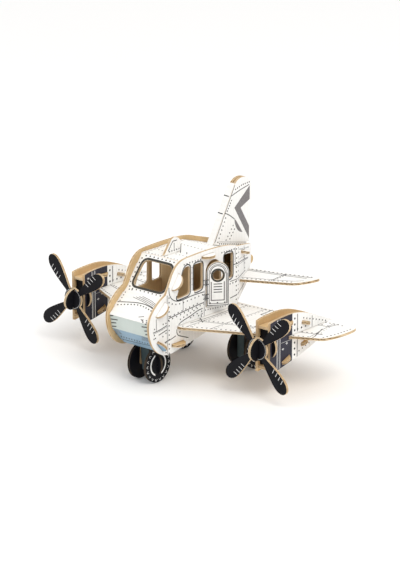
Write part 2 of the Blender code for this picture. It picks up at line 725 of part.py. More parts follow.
for old in list(bpy.data.objects):
    bpy.data.objects.remove(old, do_unlink=True)

PARTS = new_collection("card_aeroplane")

make_fuselage()
make_fin()
make_door()
make_wing()
for side_name, side_sign in (("port", 1), ("starboard", -1)):
    make_nacelle(side_name, side_sign)
    make_propeller(side_name, side_sign)
    main_x, main_y = MAIN_GEAR
    make_gear(f"main_gear_{side_name}", (side_sign * main_x, main_y), WING_TOP - CARD - GAP, 7.5, 3.4, 3.2)
make_gear("nose_gear", NOSE_GEAR, FLOOR[0][1] - GAP, 3.4, 4.4, 2.6)
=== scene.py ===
"""The looks of the slot-together card aeroplane: real board with liners and flutes, and its printed drawing.

Lengths are millimetres until they reach Blender, in the frame's own axes: nose -Y, port and its door +X, up +Z.
"""

import json
import math

import bmesh
import bpy
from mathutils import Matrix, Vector
from mathutils.bvhtree import BVHTree

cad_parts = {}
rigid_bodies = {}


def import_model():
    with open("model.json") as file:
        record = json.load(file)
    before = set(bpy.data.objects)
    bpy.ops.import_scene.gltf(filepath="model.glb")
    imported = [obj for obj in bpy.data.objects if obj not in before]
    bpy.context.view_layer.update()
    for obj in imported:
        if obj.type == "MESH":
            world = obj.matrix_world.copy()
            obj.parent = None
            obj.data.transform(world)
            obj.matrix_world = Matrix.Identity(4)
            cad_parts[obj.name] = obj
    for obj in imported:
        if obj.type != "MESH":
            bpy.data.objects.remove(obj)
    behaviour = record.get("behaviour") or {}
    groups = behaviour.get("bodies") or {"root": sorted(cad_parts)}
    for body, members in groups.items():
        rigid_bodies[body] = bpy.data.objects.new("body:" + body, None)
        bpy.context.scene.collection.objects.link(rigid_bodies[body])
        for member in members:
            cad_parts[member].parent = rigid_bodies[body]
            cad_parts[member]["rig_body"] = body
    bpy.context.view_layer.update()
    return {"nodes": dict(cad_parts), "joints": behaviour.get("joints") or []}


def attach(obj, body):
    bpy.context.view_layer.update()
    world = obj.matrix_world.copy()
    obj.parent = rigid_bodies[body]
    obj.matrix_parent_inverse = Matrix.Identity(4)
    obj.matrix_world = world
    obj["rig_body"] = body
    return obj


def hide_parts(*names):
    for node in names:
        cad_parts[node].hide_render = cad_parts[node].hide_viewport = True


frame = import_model()

MM = 0.001
BOARD = 2.0  # thickness of the corrugated board
LINER = 0.3  # each outer sheet of the board
MEDIUM = 0.2  # the wavy sheet between them
BOARD_SLACK = 0.06  # how far a board's measured thickness may be off
FLUTE_PITCH = 3.3
FLUTE_STEPS = 8  # straight stretches in one wave
INK_HEIGHT = 0.05  # how far the ink stands on the paper
INK_DEPTH = 0.1  # thickness of a printed shape, half of it in the paper
INK_STEP = 1.5  # longest straight stretch of a printed line
INK_REACH = 160.0  # the drawing starts this far outside the card
LINE = 0.65  # width of a printed line
RIVET = 0.6  # radius of a printed rivet
WING_LINE = 0.75  # the lines and rivets on the wing and tailplane are bolder
WING_RIVET = 0.72
COWL_END = -3.9  # Y where a nacelle's dark cowling ends
CHIN_SHADE_TOP = 41.0  # Z below which the nose's chin is tinted blue: painted shade on the facet that looks down
FACE_SHADE_TOP = 52.0  # Z below which the nose's face is tinted grey-green: painted shade on the facet that looks forward
MID_LENGTH = 7.24  # Y of the frame where a drawing's own Y is 0
PROPELLER_TURN = {"port": 42.8, "starboard": 37.0}  # where the first blade points, in degrees

BLOTCHES = 0.05  # scale of the paper's slow changes of colour, for each millimetre
FIBRES = 2.2  # scale of its fibres
INK_SPECKS = 0.9  # scale of the wear in the ink
BUMP = 0.12  # height of the paper's relief

SIDES = {"port": 1, "starboard": -1}  # the sign of X on each side
GEARS = ("nose_gear", "main_gear_port", "main_gear_starboard")

TOUCH = 0.001 * MM  # points nearer than this are one point
FACING_SHARE = 0.25  # a face belongs to the side that it looks to by at least this cosine
INK_SHARE = 0.4  # ink takes only where the card looks to the press by at least this cosine

SPAN = Vector((1, 0, 0))
AHEAD = Vector((0, -1, 0))
ASTERN = Vector((0, 1, 0))
UP = Vector((0, 0, 1))
DOWN = Vector((0, 0, -1))
DRAWING = Vector((0, MID_LENGTH, 0))  # the corner that the drawings of fixed cards are measured from


def joint_place(name):
    """A joint's place in millimetres."""
    for joint in frame["joints"]:
        if joint["name"] == name:
            return Vector(joint["pos_m"]) / MM


# ---------------------------------------------------------------- materials


def new_material(name, roughness, specular):
    material = bpy.data.materials.new(name)
    material.use_nodes = True
    shader = material.node_tree.nodes["Principled BSDF"]
    shader.inputs["Roughness"].default_value = roughness
    shader.inputs["Specular IOR Level"].default_value = specular
    return material, material.node_tree, shader


def place_of(tree):
    """The surface point in millimetres."""
    where = tree.nodes.new("ShaderNodeTexCoord")
    mapping = tree.nodes.new("ShaderNodeMapping")
    mapping.inputs["Scale"].default_value = [1 / MM] * 3
    tree.links.new(where.outputs["Object"], mapping.inputs["Vector"])
    return mapping.outputs["Vector"]


def noise_of(tree, place, scale, detail, roughness=0.55):
    noise = tree.nodes.new("ShaderNodeTexNoise")
    noise.inputs["Scale"].default_value = scale
    noise.inputs["Detail"].default_value = detail
    noise.inputs["Roughness"].default_value = roughness
    tree.links.new(place, noise.inputs["Vector"])
    return noise.outputs["Fac"]


def ramp_of(tree, factor, stops):
    ramp = tree.nodes.new("ShaderNodeValToRGB")
    while len(ramp.color_ramp.elements) < len(stops):
        ramp.color_ramp.elements.new(0.5)
    for element, (position, colour) in zip(ramp.color_ramp.elements, stops):
        element.position = position
        element.color = (*colour, 1)
    tree.links.new(factor, ramp.inputs["Fac"])
    return ramp.outputs["Color"]


def mixed(tree, factor, a, b, blend="MIX"):
    mix = tree.nodes.new("ShaderNodeMix")
    mix.data_type = "RGBA"
    mix.blend_type = blend
    if isinstance(factor, float):
        mix.inputs["Factor"].default_value = factor
    else:
        tree.links.new(factor, mix.inputs["Factor"])
    tree.links.new(a, mix.inputs["A"])
    tree.links.new(b, mix.inputs["B"])
    return mix.outputs["Result"]


def bumped(tree, shader, height, strength):
    bump = tree.nodes.new("ShaderNodeBump")
    bump.inputs["Strength"].default_value = strength
    bump.inputs["Distance"].default_value = BUMP * MM
    tree.links.new(height, bump.inputs["Height"])
    tree.links.new(bump.outputs["Normal"], shader.inputs["Normal"])


def washboard(tree, place, across):
    """The faint ridges that the flutes press into a liner, one for each wave along across."""
    wave = tree.nodes.new("ShaderNodeTexWave")
    wave.wave_profile = "SIN"
    wave.bands_direction = "X"
    wave.inputs["Scale"].default_value = math.pi / 10 / FLUTE_PITCH
    wave.inputs["Distortion"].default_value = 0.6
    wave.inputs["Detail"].default_value = 1.0
    turned = tree.nodes.new("ShaderNodeVectorMath")
    turned.operation = "DOT_PRODUCT"
    turned.inputs[1].default_value = across
    tree.links.new(place, turned.inputs[0])
    along = tree.nodes.new("ShaderNodeCombineXYZ")
    tree.links.new(turned.outputs["Value"], along.inputs["X"])
    tree.links.new(along.outputs["Vector"], wave.inputs["Vector"])
    return wave.outputs["Fac"]


def paper(name, across, stops, roughness, specular, bands):
    """A printed or bare liner: cloudy colour between the stops, fibres, and the flutes' washboard.

    Each band is an axis, a place along it in millimetres, and the colours on the low side of that place.
    """
    material, tree, shader = new_material(name, roughness, specular)
    place = place_of(tree)
    blotches = noise_of(tree, place, BLOTCHES, 4.0)
    cloud = ramp_of(tree, blotches, stops)
    for axis, limit, band_stops in bands:
        parts = tree.nodes.new("ShaderNodeSeparateXYZ")
        tree.links.new(place, parts.inputs["Vector"])
        beyond = tree.nodes.new("ShaderNodeMath")
        beyond.operation = "GREATER_THAN"
        beyond.inputs[1].default_value = limit
        tree.links.new(parts.outputs[axis], beyond.inputs[0])
        cloud = mixed(tree, beyond.outputs["Value"], ramp_of(tree, blotches, band_stops), cloud)
    fibre = noise_of(tree, place, FIBRES, 5.0, 0.7)
    flecks = ramp_of(tree, fibre, [(0.35, (0.90, 0.90, 0.90)), (0.6, (1, 1, 1))])
    colour = mixed(tree, 0.5, cloud, flecks, "MULTIPLY")
    ridge = washboard(tree, place, across)
    # The washboard also darkens the colour a little in its troughs: painted shade.
    colour = mixed(tree, 0.035, colour, ridge, "MULTIPLY")
    tree.links.new(colour, shader.inputs["Base Color"])
    height = mixed(tree, 0.25, ridge, fibre)
    bumped(tree, shader, height, 0.14)
    rough = tree.nodes.new("ShaderNodeMapRange")
    rough.inputs["To Min"].default_value = roughness - 0.08
    rough.inputs["To Max"].default_value = roughness + 0.08
    tree.links.new(fibre, rough.inputs["Value"])
    tree.links.new(rough.outputs["Result"], shader.inputs["Roughness"])
    return material


WHITE_STOPS = [(0.3, (0.88, 0.87, 0.84)), (0.7, (0.93, 0.92, 0.90))]
BLACK_STOPS = [(0.3, (0.004, 0.004, 0.006)), (0.7, (0.009, 0.009, 0.012))]
NAVY_STOPS = [(0.3, (0.016, 0.016, 0.030)), (0.7, (0.026, 0.025, 0.044))]
# A flat dark teal for the braces' front.
TEAL_STOPS = [(0.3, (0.030, 0.050, 0.055)), (0.7, (0.045, 0.070, 0.075))]
KRAFT_STOPS = [(0.3, (0.58, 0.40, 0.20)), (0.7, (0.68, 0.49, 0.27))]
RIM_STOPS = [(0.3, (0.70, 0.52, 0.31)), (0.7, (0.86, 0.70, 0.48))]
# Painted shade on the nose: grey-green for the face that looks forward, blue for the chin that looks down.
FACE_SHADE_STOPS = [(0.3, (0.56, 0.62, 0.58)), (0.7, (0.63, 0.69, 0.65))]
CHIN_SHADE_STOPS = [(0.3, (0.25, 0.38, 0.50)), (0.7, (0.33, 0.47, 0.58))]
# Near-black cut edges and flutes for the gear's cards: painted shade over their kraft edges.
SHADE_RIM_STOPS = [(0.3, (0.050, 0.036, 0.026)), (0.7, (0.105, 0.078, 0.054))]

# For each kind of sheet: its colours, roughness and specular level.
SHEETS = {
    "white_print": (WHITE_STOPS, 0.55, 0.3),
    "nose_print_and_painted_shade": (WHITE_STOPS, 0.55, 0.3),
    "nacelle_print": (WHITE_STOPS, 0.50, 0.3),
    "black_print": (BLACK_STOPS, 0.50, 0.12),
    "teal_face": (TEAL_STOPS, 0.50, 0.3),
    "kraft": (KRAFT_STOPS, 0.80, 0.3),
    "rim": (RIM_STOPS, 0.85, 0.3),
    "dark_rim": (SHADE_RIM_STOPS, 0.85, 0.3),
}
# The nose's two bands are painted shade, darker and tinted below their heights.
BANDS = {
    "nacelle_print": (("Y", COWL_END, NAVY_STOPS),),
    "nose_print_and_painted_shade": (("Z", FACE_SHADE_TOP, FACE_SHADE_STOPS), ("Z", CHIN_SHADE_TOP, CHIN_SHADE_STOPS)),
}

made = {}  # the materials made so far


def sheet_material(kind, across):
    """The material of one kind of sheet whose flutes follow each other along the axis nearest to across."""
    axis = "xyz"[max(range(3), key=lambda i: abs(across[i]))]
    key = f"{kind}_{axis}"
    if key not in made:
        vector = [1.0 if letter == axis else 0.0 for letter in "xyz"]
        made[key] = paper(key, vector, *SHEETS[kind], BANDS.get(kind, ()))
    return made[key]


# ---------------------------------------------------------------- board


def tree_of(node):
    """The CAD solid's surface, for rays."""
    bm = bmesh.new()
    bm.from_mesh(frame["nodes"][node].data)
    tree = BVHTree.FromBMesh(bm)
    bm.free()
    return tree


def is_sheet(face, tree):
    """True on the card's two big sides, where the board is its own thickness deep."""
    normal = face.normal
    start = face.calc_center_median() - normal * 10 * TOUCH
    _, _, _, depth = tree.ray_cast(start, -normal)
    return depth is not None and abs(depth / MM - BOARD) < BOARD_SLACK


def split_sides(node, outwards):
    """The card's printed side and bare side as two bmeshes. outwards gives a face centre's way out."""
    tree = tree_of(node)
    sides = []
    for wanted in (1, -1):
        bm = bmesh.new()
        bm.from_mesh(frame["nodes"][node].data)
        bmesh.ops.remove_doubles(bm, verts=bm.verts, dist=TOUCH)
        bm.normal_update()
        lost = []
        for face in bm.faces:
            facing = face.normal.dot(outwards(face.calc_center_median())) * wanted
            if facing < FACING_SHARE or not is_sheet(face, tree):
                lost.append(face)
        bmesh.ops.delete(bm, geom=lost, context="FACES")
        bmesh.ops.dissolve_limit(bm, angle_limit=0.01, verts=bm.verts, edges=bm.edges)
        sides.append(bm)
    return sides


def add_piece(name, bm, node):
    """A mesh as a new piece on the node's body."""
    mesh = bpy.data.meshes.new(name)
    bm.to_mesh(mesh)
    bm.free()
    obj = bpy.data.objects.new(name, mesh)
    bpy.context.scene.collection.objects.link(obj)
    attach(obj, frame["nodes"][node]["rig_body"])
    return obj


def solidified(obj, thickness, offset, back=0, rim=0):
    """Gives a sheet its thickness. back and rim count on from the sheet's material to theirs."""
    thicken = obj.modifiers.new("thickness", "SOLIDIFY")
    thicken.thickness = thickness * MM
    thicken.offset = offset
    thicken.use_even_offset = True
    thicken.material_offset = back
    thicken.material_offset_rim = rim


def joined(meshes):
    """Several bmeshes as one. Each face keeps its material."""
    whole = bmesh.new()
    for bm in meshes:
        scratch = bpy.data.meshes.new("scratch")
        bm.to_mesh(scratch)
        whole.from_mesh(scratch)
        bpy.data.meshes.remove(scratch)
        bm.free()
    return whole


def liners(node, printed, bare, kinds, across):
    """The board's two outer sheets. kinds are the printed side's, the bare side's and the cut edge's."""
    for bm, index in ((printed, 0), (bare, 1)):
        for face in bm.faces:
            face.material_index = index
    obj = add_piece(f"{node}_liners", joined([printed, bare]), node)
    for kind in kinds:
        obj.data.materials.append(sheet_material(kind, across))
    solidified(obj, LINER, -1, 1, 2)
    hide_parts(node)


def flat_groups(bm):
    """The faces in groups that lie in one plane."""
    groups = {}
    for face in bm.faces:
        tilt = tuple(round(part * 50) for part in face.normal)
        distance = round(face.normal.dot(face.verts[0].co) / MM)
        groups.setdefault((tilt, distance), []).append(face)
    return list(groups.values())


def flutes(node, printed, across, rim_kind):
    """The wavy sheet in the middle of the board. Its waves follow each other along across."""
    waves = []
    for group in flat_groups(printed):
        normal = group[0].normal.copy()
        along = (across - normal * across.dot(normal)).normalized()
        bm = bmesh.new()
        copies = {}
        for face in group:
            for vertex in face.verts:
                if vertex.index not in copies:
                    copies[vertex.index] = bm.verts.new(vertex.co - normal * BOARD / 2 * MM)
            bm.faces.new([copies[vertex.index] for vertex in face.verts])
        bm.normal_update()
        reach = [vertex.co.dot(along) for vertex in bm.verts]
        step = FLUTE_PITCH / FLUTE_STEPS * MM
        for k in range(math.ceil(min(reach) / step), math.floor(max(reach) / step) + 1):
            everything = bm.verts[:] + bm.edges[:] + bm.faces[:]
            bmesh.ops.bisect_plane(bm, geom=everything, dist=TOUCH, plane_co=along * k * step, plane_no=along)
        swing = BOARD / 2 - LINER - MEDIUM / 2
        for vertex in bm.verts:
            phase = 2 * math.pi * vertex.co.dot(along) / (FLUTE_PITCH * MM)
            vertex.co += normal * swing * math.sin(phase) * MM
        waves.append(bm)
    obj = add_piece(f"{node}_flutes", joined(waves), node)
    obj.data.materials.append(sheet_material(rim_kind, across))
    solidified(obj, MEDIUM, 0)


def board(
    node,
    outwards,
    across,
    face_kind="white_print",
    slot="white_printed_card",
    bare_kind="kraft",
    rim_kind="rim",
):
    """Rebuilds a CAD card as real board: two liners and the fluted medium between them.

    outwards is the way that the printed side looks, or a function that gives it for a face's centre.
    """
    way_out = (lambda centre: outwards) if isinstance(outwards, Vector) else outwards
    printed, bare = split_sides(node, way_out)
    printed.verts.index_update()
    flutes(node, printed, across, rim_kind)
    liners(node, printed, bare, (face_kind, bare_kind, rim_kind), across)


def broad_side(node):
    """The way that the card's biggest face looks."""
    return max(frame["nodes"][node].data.polygons, key=lambda face: face.area).normal.copy()


def away_from(y, z):
    """Outwards from a line across the aeroplane."""
    middle = Vector((0, y, z)) * MM

    def outwards(centre):
        way = centre - middle
        way.x = 0
        return way.normalized()

    return outwards


def facing_port(node):
    """The card's broad side that looks to port, wherever the card has been turned to."""
    side = broad_side(node)
    return side if side.x > 0 else -side


BLACK_CARD = ("black_print", "black_printed_card")
KRAFT_CARD = ("kraft", "kraft_card")
NOSE_MIDDLE = (-40, 55)  # the nose wrap bends round this line across the aeroplane


def boards():
    for side, sign in SIDES.items():
        out = SPAN * sign
        board(f"side_panel_{side}", out, ASTERN)
        board(f"fin_leaf_{side}", out, ASTERN)
        for place, way in (("inner", -out), ("outer", out)):
            board(f"nacelle_panel_{place}_{side}", way, ASTERN, "nacelle_print")
        board(f"nacelle_top_{side}", UP, ASTERN, *KRAFT_CARD)
        board(f"nacelle_bottom_{side}", DOWN, ASTERN, *KRAFT_CARD)
        board(f"engine_plate_{side}", AHEAD, SPAN, *BLACK_CARD)
        board(f"propeller_blades_{side}", AHEAD, SPAN, *BLACK_CARD)
        board(f"propeller_retainer_{side}", AHEAD, SPAN, *KRAFT_CARD)
        node = f"spinner_plate_{side}"
        board(node, facing_port(node), ASTERN, *BLACK_CARD, "black_print")
    # The nose's grey-green face and blue chin are painted shade over its white print.
    board("nose_wrap", away_from(*NOSE_MIDDLE), ASTERN + UP, "nose_print_and_painted_shade")
    board("roof_wrap", UP, ASTERN)
    board("belly_floor", DOWN, ASTERN)
    board("cabin_bulkhead", AHEAD, SPAN, *KRAFT_CARD)
    board("rear_bulkhead", AHEAD, SPAN, *KRAFT_CARD)
    board("tail_lock", SPAN, ASTERN, *KRAFT_CARD)
    board("antenna", SPAN, ASTERN)
    board("wing", UP, SPAN)
    board("tailplane", UP, SPAN)
    board("door", facing_port("door"), ASTERN)
    # On the gear, the near-black cut edges and flutes are painted shade over kraft.
    for gear in GEARS:
        for side, sign in SIDES.items():
            out = SPAN * sign
            # The wheels' bare inner sides are black: painted shade over their unprinted kraft.
            board(f"{gear}_wheel_{side}", out, ASTERN, *BLACK_CARD, "black_print", "dark_rim")
            board(f"{gear}_leg_{side}", out, ASTERN, *BLACK_CARD, "kraft", "dark_rim")
        board(f"{gear}_axle", AHEAD, SPAN, *BLACK_CARD, "black_print", "dark_rim")
        board(f"{gear}_brace", AHEAD, SPAN, "teal_face", "black_printed_card", "kraft", "dark_rim")
    for node, kind in (
        ("fin_leading_strip", "white_print"),
        ("door_hinge_lower", "black_print"),
        ("door_hinge_upper", "black_print"),
    ):
        data = frame["nodes"][node].data
        data.materials.clear()
        data.materials.append(sheet_material(kind, UP))


# ---------------------------------------------------------------- printing


INKS = {
    "black": (0.012, 0.012, 0.014),
    "frame": (0.030, 0.027, 0.020),
    "grey": (0.15, 0.14, 0.14),
    "pale": (0.42, 0.42, 0.41),
    "white": (0.80, 0.80, 0.78),
}


def ink_material(name):
    """Printer's ink: its colour broken up a little by the paper under it."""
    key = f"ink_{name}"
    if key not in made:
        fresh = INKS[name]
        worn = tuple(min(1.0, channel * 1.5 + 0.01) for channel in fresh)
        made[key], tree, shader = new_material(key, 0.45, 0.4)
        cloud = noise_of(tree, place_of(tree), INK_SPECKS, 4.0, 0.7)
        tree.links.new(ramp_of(tree, cloud, [(0.35, fresh), (0.75, worn)]), shader.inputs["Base Color"])
    return made[key]


def curve(points, steps=6):
    """A smooth line through the points, a Catmull-Rom spline."""
    ends = [Vector(point) for point in (points[0], *points, points[-1])]
    line = []
    for a, b, c, d in zip(ends, ends[1:], ends[2:], ends[3:]):
        for k in range(steps):
            t = k / steps
            bend = 2 * a - 5 * b + 4 * c - d
            twist = 3 * b - a - 3 * c + d
            line.append(tuple(b + ((c - a) * t + bend * t**2 + twist * t**3) / 2))
    return line + [points[-1]]


def arc(centre, radius, start, end, steps=24):
    """Points from the start angle to the end angle, in degrees."""
    angles = [math.radians(start + (end - start) * k / steps) for k in range(steps + 1)]
    return [(centre[0] + radius * math.cos(a), centre[1] + radius * math.sin(a)) for a in angles]


def ring(centre, radius, corners):
    """A closed outline with this many corners."""
    return arc(centre, radius, 0, 360 - 360 / corners, corners - 1)


def rounded(corners, radius, steps=5):
    """A closed outline with round corners."""
    outline = []
    for k, corner in enumerate(corners):
        corner = Vector(corner)
        back = (Vector(corners[k - 1]) - corner).normalized() * radius
        ahead = (Vector(corners[(k + 1) % len(corners)]) - corner).normalized() * radius
        for j in range(steps + 1):
            t = j / steps
            outline.append(tuple(corner + back * (1 - t) ** 2 + ahead * t**2))
    return outline


def stepped(points, closed=False, step=INK_STEP):
    """The points with more between them, so that no stretch is longer than step."""
    ends = points + points[:1] if closed else points
    path = []
    for (x0, y0), (x1, y1) in zip(ends, ends[1:]):
        count = max(1, math.ceil(math.hypot(x1 - x0, y1 - y0) / step))
        path += [(x0 + (x1 - x0) * k / count, y0 + (y1 - y0) * k / count) for k in range(count)]
    return path if closed else path + [ends[-1]]


def spaced(points, gap, closed=False):
    """Points along a line, evenly spaced and about gap apart."""
    ends = points + points[:1] if closed else points
    total = sum(math.dist(a, b) for a, b in zip(ends, ends[1:]))
    count = max(1, round(total / gap))
    row = []
    passed = wanted = 0.0
    for a, b in zip(ends, ends[1:]):
        length = math.dist(a, b)
        while wanted <= passed + length + 1e-6 and len(row) < count + (not closed):
            t = (wanted - passed) / length if length else 0
            row.append((a[0] + (b[0] - a[0]) * t, a[1] + (b[1] - a[1]) * t))
            wanted += total / count
        passed += length
    return row


def flanks(path, width, closed):
    """The path's two sides, width apart."""
    sides = ([], [])
    last = len(path) - 1
    for k, here in enumerate(path):
        here = Vector(here)
        back = here - Vector(path[k - 1]) if k or closed else None
        ahead = Vector(path[(k + 1) % len(path)]) - here if k < last or closed else None
        # The two ends of an open path have only one stretch beside them.
        back, ahead = (back or ahead).normalized(), (ahead or back).normalized()
        square = Vector((-back.y, back.x))
        middle = back + ahead
        across = Vector((-middle.y, middle.x)).normalized() if middle.length > 0.1 else square
        offset = across * width / 2 / max(0.5, across.dot(square))
        sides[0].append(tuple(here + offset))
        sides[1].append(tuple(here - offset))
    return sides


class Press:
    """Prints a drawing on one card.

    A drawing's points are millimetres along right and up from corner. They are pressed against facing onto the
    card's surface, folds included, and a shape that misses the card prints nothing.
    """

    def __init__(self, node, corner, right, up, facing, slot="white_printed_card"):
        self.node, self.slot = node, slot
        self.corner, self.right, self.up, self.facing = corner, right, up, facing
        self.tree = tree_of(node)
        self.bm = bmesh.new()
        self.inks = []

    def land(self, point):
        start = self.corner + self.right * point[0] + self.up * point[1] + self.facing * INK_REACH
        place, normal, _, _ = self.tree.ray_cast(start * MM, -self.facing)
        if place is None or normal.dot(self.facing) < INK_SHARE:
            return None
        return place + normal * INK_HEIGHT * MM

    def shape(self, corners, ink):
        landed = [self.land(corner) for corner in corners]
        if len(landed) < 3 or None in landed:
            return
        if ink not in self.inks:
            self.inks.append(ink)
        face = self.bm.faces.new([self.bm.verts.new(place) for place in landed])
        face.normal_update()
        if face.normal.dot(self.facing) < 0:
            face.normal_flip()
        face.material_index = self.inks.index(ink)

    def line(self, points, ink="black", width=LINE, closed=False):
        path = stepped(points, closed)
        left, right = flanks(path, width, closed)
        if closed:
            left.append(left[0])
            right.append(right[0])
        for a, b, c, d in zip(left, left[1:], right[1:], right):
            self.shape((a, b, c, d), ink)

    def dots(self, places, ink="black", radius=RIVET):
        for x, y in places:
            self.shape(ring((x, y), radius, 8), ink)

    def rivets(self, points, gap=3.2, ink="black", radius=RIVET, closed=False):
        self.dots(spaced(points, gap, closed), ink, radius)

    def done(self):
        bmesh.ops.remove_doubles(self.bm, verts=self.bm.verts, dist=2 * TOUCH)
        obj = add_piece(f"{self.node}_ink", self.bm, self.node)
        for ink in self.inks:
            obj.data.materials.append(ink_material(ink))
        solidified(obj, INK_DEPTH, -1)


def one_print(presses):
    """One card's drawings, facet by facet, as one print."""
    whole = presses[0]
    for press in presses[1:]:
        for ink in press.inks:
            if ink not in whole.inks:
                whole.inks.append(ink)
        for face in press.bm.faces:
            face.material_index = whole.inks.index(press.inks[face.material_index])
    whole.bm = joined([press.bm for press in presses])
    whole.done()


SIDE_WINDOWS = (
    [(-51.6, 64.6), (-36.2, 65.6), (-35.8, 87.4), (-42.6, 87.6)],
    [(-32.2, 65.8), (-21.8, 66.6), (-21.8, 87.0), (-32.2, 87.2)],
    [(2.4, 66.8), (12.6, 67.2), (12.6, 86.8), (2.4, 87.0)],
)
HINGE_HEIGHTS = (72.0, 68.7, 61.0, 57.8)


def grown(corners, margin):
    """A convex outline moved outwards from its middle by about margin."""
    middle = sum((Vector(corner) for corner in corners), Vector((0, 0))) / len(corners)
    return [tuple(Vector(corner) + (Vector(corner) - middle).normalized() * margin) for corner in corners]


def print_side(side, sign):
    """A side panel, from its window frames down and back."""
    press = Press(f"side_panel_{side}", DRAWING, ASTERN, UP, SPAN * sign)
    for corners in SIDE_WINDOWS:
        press.line(rounded(grown(corners, 1.3), 4.2), "black", 0.95, closed=True)
    # The panel round the windows, with a rivet row outside it.
    bend = [(-59.6, 76.0), (-59.0, 70.6), (-56.2, 66.4), (-51.0, 63.6)]
    press.line(curve(bend + [(-44.0, 63.0), (-33.0, 63.7), (-20.4, 63.4)]))
    press.rivets([(-56.0, 62.6), (-50.5, 60.9), (-44.0, 60.7), (-22.0, 61.5)], 4.2)
    press.rivets([(-42.5, 89.4), (-36.0, 89.6), (-21.0, 89.2)], 3.2)
    press.rivets([(-34.0, 68.0), (-34.0, 85.5)], 4.2, "grey", 0.34)
    # The upright seam behind the nose.
    for y, ink in ((-61.6, "black"), (-60.7, "pale")):
        press.line([(y, 70.5), (y, 24.0)], ink, 0.38)
    press.rivets([(-59.4, 68.0), (-59.4, 25.5)], 3.4)
    press.rivets([(-63.0, 57.0), (-63.0, 27.0)], 6.8)
    press.line([(-73.6, 58.0), (-73.4, 46.5)], "grey")
    press.line([(-77.0, 45.6), (-69.0, 46.2), (-62.0, 47.6)])
    press.line([(-77.0, 44.6), (-69.0, 45.2), (-62.0, 46.6)], "grey", 0.3)
    press.line([(-71.0, 42.4), (-62.0, 44.2)])
    press.line([(-64.5, 35.2), (-58.0, 35.8), (-52.0, 37.2)])
    press.dots([(-75.4, 48.0), (-75.6, 43.4), (-74.6, 41.0), (-76.0, 40.6), (-66.0, 49.6), (-66.4, 40.2)])
    # The belt along the fuselage.
    belt = [(-60.0, 52.4), (-45.0, 53.7), (-30.0, 54.8), (-20.4, 55.2)]
    press.line(belt)
    press.rivets([(y, z - 1.3) for y, z in belt], 4.3)
    press.rivets([(y + 2.0, z + 1.3) for y, z in belt[:-1]], 4.3)
    press.line([(-44.0, 62.6), (-43.8, 54.6)], "grey", 0.6)
    # The fairing round the root of the wing.
    fairing = [(-22.0, 51.0), (-28.0, 50.4), (-36.0, 48.4), (-44.0, 46.9), (-48.4, 45.2), (-50.6, 42.4)]
    fairing += [(-50.9, 39.4), (-49.4, 37.0), (-46.0, 35.4), (-38.0, 32.2)]
    press.line(curve(fairing))
    press.rivets([(-47.0, 48.6), (-37.0, 50.6), (-28.0, 52.4)], 4.2)
    press.dots([(-35.4, 47.0), (-32.2, 47.9), (-28.2, 48.4), (-26.4, 46.4)])
    press.dots([(-23.0, 49.0), (-22.6, 47.0), (-47.6, 39.0)])
    press.line([(-23.6, 46.6), (-23.4, 44.6)], "black", 0.8)
    press.line([(-20.1, 64.5), (-20.1, 44.6)], "black", 0.36)
    press.rivets([(-18.6, 48.8), (4.0, 46.6)], 2.9, "grey")
    press.line([(-20.0, 50.4), (8.6, 49.2)], "pale", 0.3)
    for z in HINGE_HEIGHTS:
        press.line([(-21.4, z), (-19.4, z)], "black", 0.6)
    # Behind the door, and the seam where the panel bends to the tail.
    press.line([(15.3, 91.0), (15.3, 78.0)], "grey", 0.5)
    press.line([(13.6, 76.6), (18.3, 76.4), (30.0, 74.9), (47.0, 71.9)])
    press.line([(15.0, 74.9), (18.3, 74.8), (30.0, 73.6), (47.0, 71.3)], "grey", 0.3)
    press.line([(9.6, 64.2), (18.3, 64.4), (40.0, 64.0)], "grey")
    press.line([(9.6, 51.2), (16.0, 51.8), (30.0, 53.6), (46.0, 57.4)])
    press.rivets([(0.0, 88.9), (14.0, 88.6)], 3.0)
    for y in (16.9, 20.1):
        press.rivets([(y, 88.0), (y, 48.5)], 3.6)
    press.rivets([(22.0, 86.2), (49.0, 79.4)], 3.6)
    press.rivets([(22.0, 78.6), (46.0, 74.6)], 4.4, "grey")
    press.rivets([(9.6, 62.4), (16.0, 62.5)], 3.0)
    press.line([(36.0, 84.6), (36.4, 64.6)], "grey")
    press.rivets([(37.8, 82.0), (38.0, 66.5)], 4.0)
    press.line([(33.0, 57.4), (33.0, 50.4)], "grey")
    press.done()


def print_door():
    """The door's drawing is measured from its hinged edge, in the plane that the door stands in."""
    facing = facing_port("door")
    along = UP.cross(facing)
    hinge = min(vertex.co.dot(along) for vertex in frame["nodes"]["door"].data.vertices) / MM
    press = Press("door", along * hinge, along, UP, facing)
    middle, sill, spring, pane = 8.35, 51.6, 77.2, 75.3  # half the width, then heights
    for inset, ink in ((0.55, "black"), (1.9, "grey")):
        left, right, foot = inset, 2 * middle - inset, sill + inset
        press.line([(left, spring), (left, foot), (right, foot), (right, spring)], ink, 0.55)
        press.line(arc((middle, spring), middle - inset, 0, 180), ink, 0.45)
    press.line(arc((middle, spring), 5.5, -8, 188), "black", 0.5)
    press.line([(15.4, 77.0), (15.4, 53.4)], "pale", 0.9)
    press.line(ring((middle, pane), 4.55, 48), "frame", 1.4, closed=True)
    press.line([(3.4, 70.4), (3.4, 56.0), (13.2, 56.0), (13.2, 70.4)], "grey", 0.8)
    for k in range(4):
        z = 68.6 - 2.1 * k
        press.line([(5.2, z), (11.6, z)], "black", 0.65)
    press.dots([(2.7, 54.0), (8.1, 54.1), (13.6, 54.2)], "black", 0.55)
    for z in HINGE_HEIGHTS:
        press.line([(0.1, z), (1.6, z)], "black", 0.6)
    press.done()


